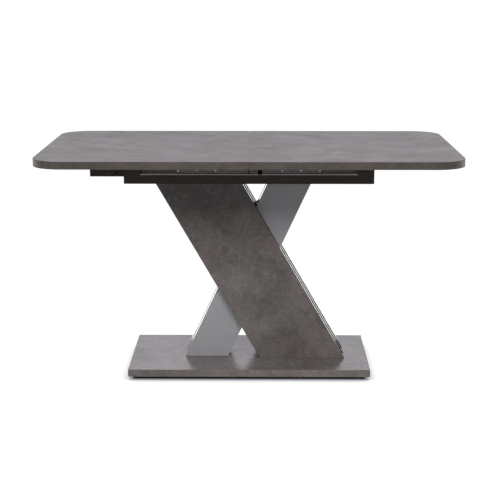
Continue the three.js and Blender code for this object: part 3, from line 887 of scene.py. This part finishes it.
# The silver leg's boards have bright metal foil on their sloping edges.
def makeSilverBoard(nodeName):
    piece = softCopy(nodeName, "silver", leg["silverArris"])
    piece.data.materials.append(finishes["trim"])
    for face in piece.data.polygons:
        if abs(face.normal.y) < 0.3 and abs(face.normal.z) < 0.9:
            face.material_index = 1


for layer in ("front", "middle", "rear"):
    makeStoneLayer(layer)
for layer in ("front", "rear"):
    softCopy(f"stone_leg_{layer}_spacer", "blackSpacer", leg["arris"])
for part in ("lower", "upper"):
    for layer in ("front", "rear"):
        makeSilverBoard(f"silver_leg_{part}_{layer}_board")
    softCopy(f"silver_leg_{part}_spacer", "greySpacer", leg["arris"])
print("legs made")


for name in ("tray_board", "apron_front", "apron_rear", "end_board"):
    softCopy(name, "blackBoard", arrises["board"])
for name in ("leaf_felt_front", "leaf_felt_rear"):
    softCopy(name, "felt", arrises["felt"])


rail = {"arris": 0.7 * mm, "web": 2 * mm, "flange": 24 * mm, "sillRise": 1.5 * mm, "sillLip": 1.2 * mm,
        "lipHeight": 2.6 * mm, "lipDepth": 1.0 * mm, "lipArris": 0.4 * mm, "lipInset": 1 * mm}


# A closed box with softened arrises.
def makeBlock(name, low, high, finish, radius):
    shape = buildPrism(rectangle(low[0], low[1], high[0], high[1]), low[2], high[2])
    roundEdges(shape, list(shape.edges), radius, 2)
    mesh = makeMesh(shape, name, finish)
    return evenNormals(addPiece(name, mesh))


# A rail's sill ends in a lip turned up along its outer edge; its near-white paint is a painted highlight for
# the bright line along the sill.
def makeRail(row):
    softCopy("rail_" + row, "darkSteel", rail["arris"])
    low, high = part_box("rail_" + row)
    outer, inward = (low.y, 1) if row == "front" else (high.y, -1)
    yLow, yHigh = sorted((outer, outer + inward * rail["sillLip"]))
    lip = makeBlock("sill_lip_" + row, (low.x, yLow, low.z + rail["web"]),
                    (high.x, yHigh, low.z + rail["web"] + rail["sillRise"]), "polishedLip", rail["lipArris"])
    settle(lip, "pedestal_frame")


# The outer face of a runner's web, where its lip, screws and catch sit.
def webFace(side, row):
    low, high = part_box(f"runner_{side}_{row}")
    return low.y + rail["flange"] if row == "front" else high.y - rail["flange"]


# The folded lip along the foot of a runner, polished by the rollers.
def makeRunnerLip(side, row):
    low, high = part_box(f"runner_{side}_{row}")
    face = webFace(side, row)
    outer = face - rail["lipDepth"] if row == "front" else face + rail["lipDepth"]
    yLow, yHigh = sorted((face, outer))
    start = (low.x + rail["lipInset"], yLow, low.z)
    end = (high.x - rail["lipInset"], yHigh, low.z + rail["lipHeight"])
    lip = makeBlock(f"runner_lip_{side}_{row}", start, end, "rolledLip", rail["lipArris"])
    settle(lip, side + "_half")


for row in ("front", "rear"):
    makeRail(row)
for side in ("left", "right"):
    for row in ("front", "rear"):
        softCopy(f"runner_{side}_{row}", "runnerSteel", arrises["steel"])
        makeRunnerLip(side, row)
    softCopy(f"rack_block_{side}", "blackBoard", arrises["board"])
softCopy("sync_bridge", "zincSteel", arrises["steel"])
print("frame and rails made")


screw = {"dome": ((0.78, 0.93), (0.94, 0.68), (1.0, 0.3), (1.0, 0.0)),     # shares of radius and height
         "headRadius": 3.9 * mm, "headHeight": 1.5 * mm, "recessLong": 0.52, "recessShort": 0.17,
         "recessDepth": 0.9 * mm, "steps": 24}


# A low domed screw head with a cross recess, its seat at z = 0 and its crown towards +Z.
def makeScrewHead():
    radius, height, steps = screw["headRadius"], screw["headHeight"], screw["steps"]
    shape = bmesh.new()
    rings = []
    levels = [(None, height - screw["recessDepth"]), (None, height)]
    levels += [(scale, height * rise) for scale, rise in screw["dome"]]
    for scale, z in levels:
        ring = []
        for step in range(steps):
            angle = 2 * math.pi * step / steps
            cross = step % (steps // 4) in (0, 1, steps // 4 - 1)
            share = scale or (screw["recessLong"] if cross else screw["recessShort"])
            reach = radius * share
            ring.append(shape.verts.new((reach * math.cos(angle), reach * math.sin(angle), z)))
        rings.append(ring)
    shape.faces.new(rings[0])
    for inner, outer in zip(rings, rings[1:]):
        for i in range(steps):
            j = (i + 1) % steps
            shape.faces.new((inner[i], outer[i], outer[j], inner[j]))
    shape.faces.new(list(reversed(rings[-1])))
    bmesh.ops.recalc_face_normals(shape, faces=shape.faces)
    return addPiece("screwHead", makeMesh(shape, "screwHead"))


# Geometry Nodes: copies of one part at even steps along a straight row.
def makeRowTree():
    tree = bpy.data.node_groups.new("fastenerRow", "GeometryNodeTree")
    sockets = {}
    tree.interface.new_socket(name="Geometry", in_out="INPUT", socket_type="NodeSocketGeometry")
    for label, kind in (("Part", "Object"), ("Count", "Int"), ("Start", "Vector"), ("End", "Vector"),
                        ("Turn", "Vector"), ("Size", "Float"), ("Finish", "Material")):
        kind = "NodeSocket" + kind
        sockets[label] = tree.interface.new_socket(name=label, in_out="INPUT", socket_type=kind)
    tree.interface.new_socket(name="Geometry", in_out="OUTPUT", socket_type="NodeSocketGeometry")
    given, result = tree.nodes.new("NodeGroupInput"), tree.nodes.new("NodeGroupOutput")
    row = addNode(tree, "GeometryNodeMeshLine", {"Count": given.outputs["Count"],
                                                 "Start Location": given.outputs["Start"],
                                                 "Offset": given.outputs["End"]}, mode="END_POINTS")
    part = addNode(tree, "GeometryNodeObjectInfo", {"Object": given.outputs["Part"]})
    turn = addNode(tree, "FunctionNodeEulerToRotation", {"Euler": given.outputs["Turn"]})
    copies = addNode(tree, "GeometryNodeInstanceOnPoints",
                     {"Points": row.outputs["Mesh"], "Instance": part.outputs["Geometry"],
                      "Rotation": turn.outputs["Rotation"], "Scale": given.outputs["Size"]})
    real = addNode(tree, "GeometryNodeRealizeInstances", {"Geometry": copies.outputs["Instances"]})
    painted = addNode(tree, "GeometryNodeSetMaterial", {"Geometry": real.outputs["Geometry"],
                                                        "Material": given.outputs["Finish"]})
    tree.links.new(painted.outputs["Geometry"], result.inputs["Geometry"])
    return tree, sockets


rowTree, rowSockets = makeRowTree()
screwHead = makeScrewHead()

faceFront = (math.pi / 2, 0, 0)     # crown towards -Y
faceRear = (-math.pi / 2, 0, 0)     # crown towards +Y
faceDown = (math.pi, 0, 0)
faceUp = (0, 0, 0)


def addRow(name, body, finish, start, end, count, turn, size=1.0, part=None):
    piece = addPiece(name, bpy.data.meshes.new(name))
    modifier = piece.modifiers.new("fastenerRow", "NODES")
    modifier.node_group = rowTree
    for label, value in (("Part", part or screwHead), ("Count", count), ("Start", start), ("End", end),
                         ("Turn", turn), ("Size", size), ("Finish", finishes[finish])):
        modifier[rowSockets[label].identifier] = value
    makePlain(piece)
    return settle(piece, body)


fasteners = {
    "webInset": (5.5 * mm, 125.5 * mm), "webRise": 7.0 * mm, "webScrew": 1.0,     # insets from the outer end
    "flangeInset": 20 * mm, "flangeFromWeb": 12 * mm,
    "railEnd": 46 * mm, "railRise": 16 * mm, "holeInset": (12 * mm, 18.5 * mm), "holeSize": 0.45,
}


def addRunnerScrews(side, row):
    low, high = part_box(f"runner_{side}_{row}")
    outward = -1 if side == "left" else 1
    outerX = low.x if side == "left" else high.x
    near, far = (outerX - outward * inset for inset in fasteners["webInset"])
    sign = -1 if row == "front" else 1
    webY = webFace(side, row)
    z = low.z + fasteners["webRise"]
    addRow(f"runner_screws_{side}_{row}", side + "_half", "screwSteel",
           (near, webY, z), (far, webY, z), 3, faceFront if sign < 0 else faceRear, fasteners["webScrew"])
    flangeY = webY + sign * fasteners["flangeFromWeb"]
    z = high.z - rail["web"]
    inset = fasteners["flangeInset"]
    addRow(f"flange_screws_{side}_{row}", side + "_half", "screwSteel",
           (low.x + inset, flangeY, z), (high.x - inset, flangeY, z), 3, faceDown)


def addRailScrews(row):
    low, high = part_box("rail_" + row)
    front = row == "front"
    webY = high.y - rail["web"] if front else low.y + rail["web"]
    z = low.z + fasteners["railRise"]
    inset = fasteners["railEnd"]
    addRow(f"rail_screws_{row}", "pedestal_frame", "darkScrew",
           (low.x + inset, webY, z), (high.x - inset, webY, z), 7, faceFront if front else faceRear, 0.8)


cap = {"dome": ((1.0, 0.0), (1.0, 0.45), (0.9, 0.85), (0.6, 1.0)),
       "radius": 5.5 * mm, "height": 1.0 * mm, "steps": 24, "fromMiddle": 266 * mm, "rise": 14 * mm}
legBolt = {"margin": 42 * mm, "row": 36 * mm, "silverRow": 24 * mm, "size": 1.6, "sunk": 0.9 * mm}


# A smooth low cap over a screw in an apron, its seat at z = 0.
def makeCoverCap():
    shape = bmesh.new()
    turns = [2 * math.pi * step / cap["steps"] for step in range(cap["steps"])]
    rings = []
    for share, rise in cap["dome"]:
        reach, z = cap["radius"] * share, cap["height"] * rise
        rings.append([shape.verts.new((reach * math.cos(turn), reach * math.sin(turn), z)) for turn in turns])
    shape.faces.new(rings[0])
    shape.faces.new(rings[-1])
    for inner, outer in zip(rings, rings[1:]):
        for i in range(cap["steps"]):
            j = (i + 1) % cap["steps"]
            shape.faces.new((inner[i], inner[j], outer[j], outer[i]))
    bmesh.ops.recalc_face_normals(shape, faces=shape.faces)
    mesh = makeMesh(shape, "coverCap")
    return addPiece("coverCap", mesh)


def addApronCaps(row):
    low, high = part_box("apron_" + row)
    front = row == "front"
    y, z = low.y if front else high.y, low.z + cap["rise"]
    addRow("apron_caps_" + row, "pedestal_frame", "coverCap", (-cap["fromMiddle"], y, z),
           (cap["fromMiddle"], y, z), 2, faceFront if front else faceRear, part=coverCap)


# Screws up through the base and down through the tray into a leg's end.
def addLegScrews(name, lowerBoard, upperBoard, rowY):
    ends = {"foot": slopeCorners(lowerBoard)[:2], "head": slopeCorners(upperBoard)[2:]}
    heights = {"foot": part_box("base_board")[0].z, "head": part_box("tray_board")[1].z - legBolt["sunk"]}
    for end, turn in (("foot", faceDown), ("head", faceUp)):
        xLow, xHigh = sorted(x for x, z in ends[end])
        near, far, z = xLow + legBolt["margin"], xHigh - legBolt["margin"], heights[end]
        for row, y in (("front", -rowY), ("rear", rowY)):
            addRow(f"{name}_{end}_screws_{row}", "pedestal_frame", "darkScrew",
                   (near, y, z), (far, y, z), 3, turn, legBolt["size"])


# Two small punched holes near the inner end of a runner.
def addRunnerHoles(side, row):
    low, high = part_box(f"runner_{side}_{row}")
    innerX, inward = (high.x, -1) if side == "left" else (low.x, 1)
    y, z = webFace(side, row), low.z + fasteners["webRise"]
    near, far = (innerX + inward * inset for inset in fasteners["holeInset"])
    addRow(f"runner_holes_{side}_{row}", side + "_half", "blackPlastic",
           (near, y, z), (far, y, z), 2, faceFront if row == "front" else faceRear, fasteners["holeSize"])


addRunnerHoles("right", "front")
addRunnerHoles("left", "rear")
coverCap = makeCoverCap()
for row in ("front", "rear"):
    for side in ("left", "right"):
        addRunnerScrews(side, row)
    addRailScrews(row)
    addApronCaps(row)
addLegScrews("stone", "stone_leg_middle_board", "stone_leg_middle_board", legBolt["row"])
addLegScrews("silver", "silver_leg_lower_front_board", "silver_leg_upper_front_board", legBolt["silverRow"])
bpy.data.objects.remove(screwHead)
bpy.data.objects.remove(coverCap)
print("fasteners made")


stopClip = {"thickness": 2.6 * mm, "nose": 0.8 * mm, "drop": 2.0 * mm, "arris": 0.25 * mm, "lift": 0.1 * mm}


# A flat foot that holds a stop block to the sill and hooks over its lip.
def makeStopClip(row):
    low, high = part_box("rail_stop_" + row)
    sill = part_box("rail_" + row)
    sign, face, lipY = (-1, low.y, sill[0].y) if row == "front" else (1, high.y, sill[1].y)
    seat = sill[0].z + rail["web"] + rail["sillRise"] + stopClip["lift"]
    crown = seat + stopClip["thickness"] - rail["sillRise"]
    inner, outer = lipY + sign * stopClip["lift"], lipY + sign * stopClip["nose"]
    foot = seat - stopClip["drop"]
    outline = [(face, seat), (inner, seat), (inner, foot), (outer, foot), (outer, crown), (face, crown)]
    shape = buildPrism(outline, low.x, high.x)
    for vert in shape.verts:
        y, z, x = vert.co
        vert.co = (x, y, z)
    bmesh.ops.recalc_face_normals(shape, faces=shape.faces)
    roundEdges(shape, list(shape.edges), stopClip["arris"], 2)
    mesh = makeMesh(shape, "stop_clip", "blackPlastic")
    settle(evenNormals(addPiece("stop_clip_" + row, mesh)), "pedestal_frame")


for row in ("front", "rear"):
    softCopy(f"rail_stop_{row}", "blackPlastic", arrises["stop"], 3)
    makeStopClip(row)
print("stop blocks made")


softCopy("leaf_board", None, arrises["leafBoard"], 2, arrises["leafShortest"],
         ("leafDecor", "backing", "blackBoard"))
for edge in ("left", "right"):
    softCopy("leaf_edge_band_" + edge, "topEdgeDecor", arrises["leafBand"])
for name in ("sync_pinion", "rack_left", "rack_right"):
    nodes[name].data.materials.clear()
    nodes[name].data.materials.append(finishes["nylon"])
nodes["pinion_axle"].data.materials.clear()
nodes["pinion_axle"].data.materials.append(finishes["zincSteel"])
for side in ("left", "right"):
    for letter in ("a", "b"):
        softCopy(f"top_dowel_{side}_{letter}", "beech", arrises["dowel"])
print("leaf and synchroniser made")
